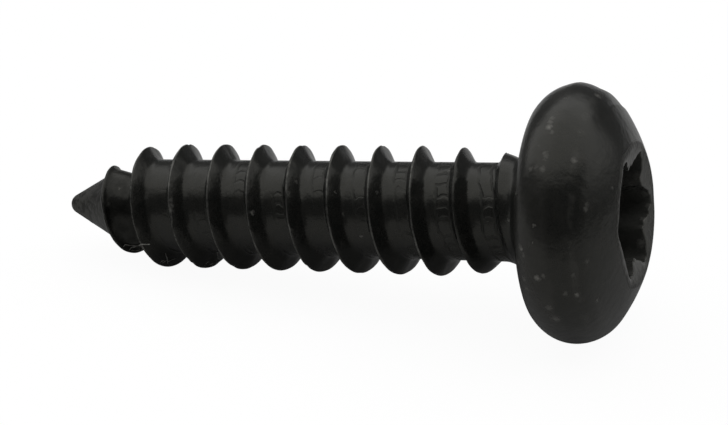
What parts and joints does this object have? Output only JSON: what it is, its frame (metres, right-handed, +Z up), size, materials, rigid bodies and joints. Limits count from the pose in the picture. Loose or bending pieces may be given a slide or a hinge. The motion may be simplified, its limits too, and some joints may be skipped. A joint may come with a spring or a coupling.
{
  "type": "pan head sheet metal screw",
  "caption": "Pan head sheet metal screw with a coarse sharp thread, a cone point and a six-lobe drive recess in its domed head, in a worn black finish.",
  "frame": {"origin": "middle of the lying screw's box, on the ground it rests on", "axes": "+X along the screw towards its head, +Z up; the screw's own axis leans 7.88 degrees up towards the head"},
  "size_m": [0.0228, 0.0092, 0.0092],
  "materials": {
    "black_steel": "satin black coating on hardened steel, rubbed bright along the thread crests"
  },
  "bodies": {
    "root": {"screw": "black_steel"}
  },
  "joints": []
}
